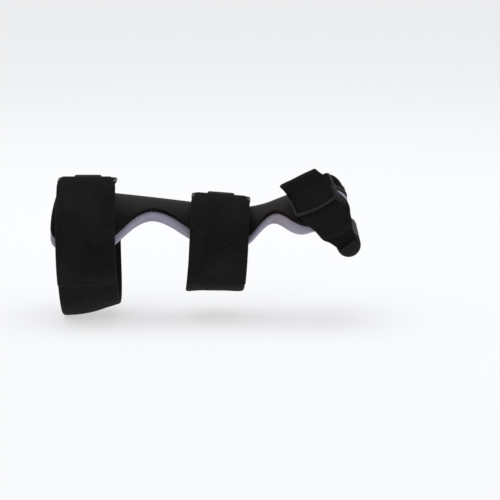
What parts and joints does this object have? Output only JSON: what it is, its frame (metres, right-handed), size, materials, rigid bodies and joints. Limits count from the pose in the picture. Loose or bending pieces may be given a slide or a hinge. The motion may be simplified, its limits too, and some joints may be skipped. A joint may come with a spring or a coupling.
{
  "type": "carpal tunnel splint",
  "caption": "Rigid dorsal wrist splint with scalloped foam-lined shell, forearm and wrist loop straps turned through wire rings, and a hand strap ending in a palm bar.",
  "frame": {"origin": "crown of the pad's inner face over the wrist, where the splint sits on the back of the arm", "axes": "+X towards the fingers, +Y towards the little-finger side, +Z off the back of the hand"},
  "size_m": [0.2162, 0.1124, 0.1086],
  "materials": {
    "shell_plastic": "black satin thermoplastic",
    "pad_foam": "lavender-grey brushed foam",
    "strap_cloth": "black brushed loop cloth",
    "chafe_webbing": "black woven webbing",
    "ring_wire": "dark coated wire",
    "bar_rubber": "black satin moulded rubber"
  },
  "bodies": {
    "root": {"shell": "shell_plastic", "liner_pad": "pad_foam", "forearm_strap": "strap_cloth", "wrist_strap": "strap_cloth", "palm_strap": "strap_cloth", "ulnar_strap": "strap_cloth", "forearm_chafe": "chafe_webbing", "wrist_chafe": "chafe_webbing", "forearm_ring": "ring_wire", "wrist_ring": "ring_wire", "hand_ring": "ring_wire", "palm_bar": "bar_rubber"}
  },
  "joints": []
}
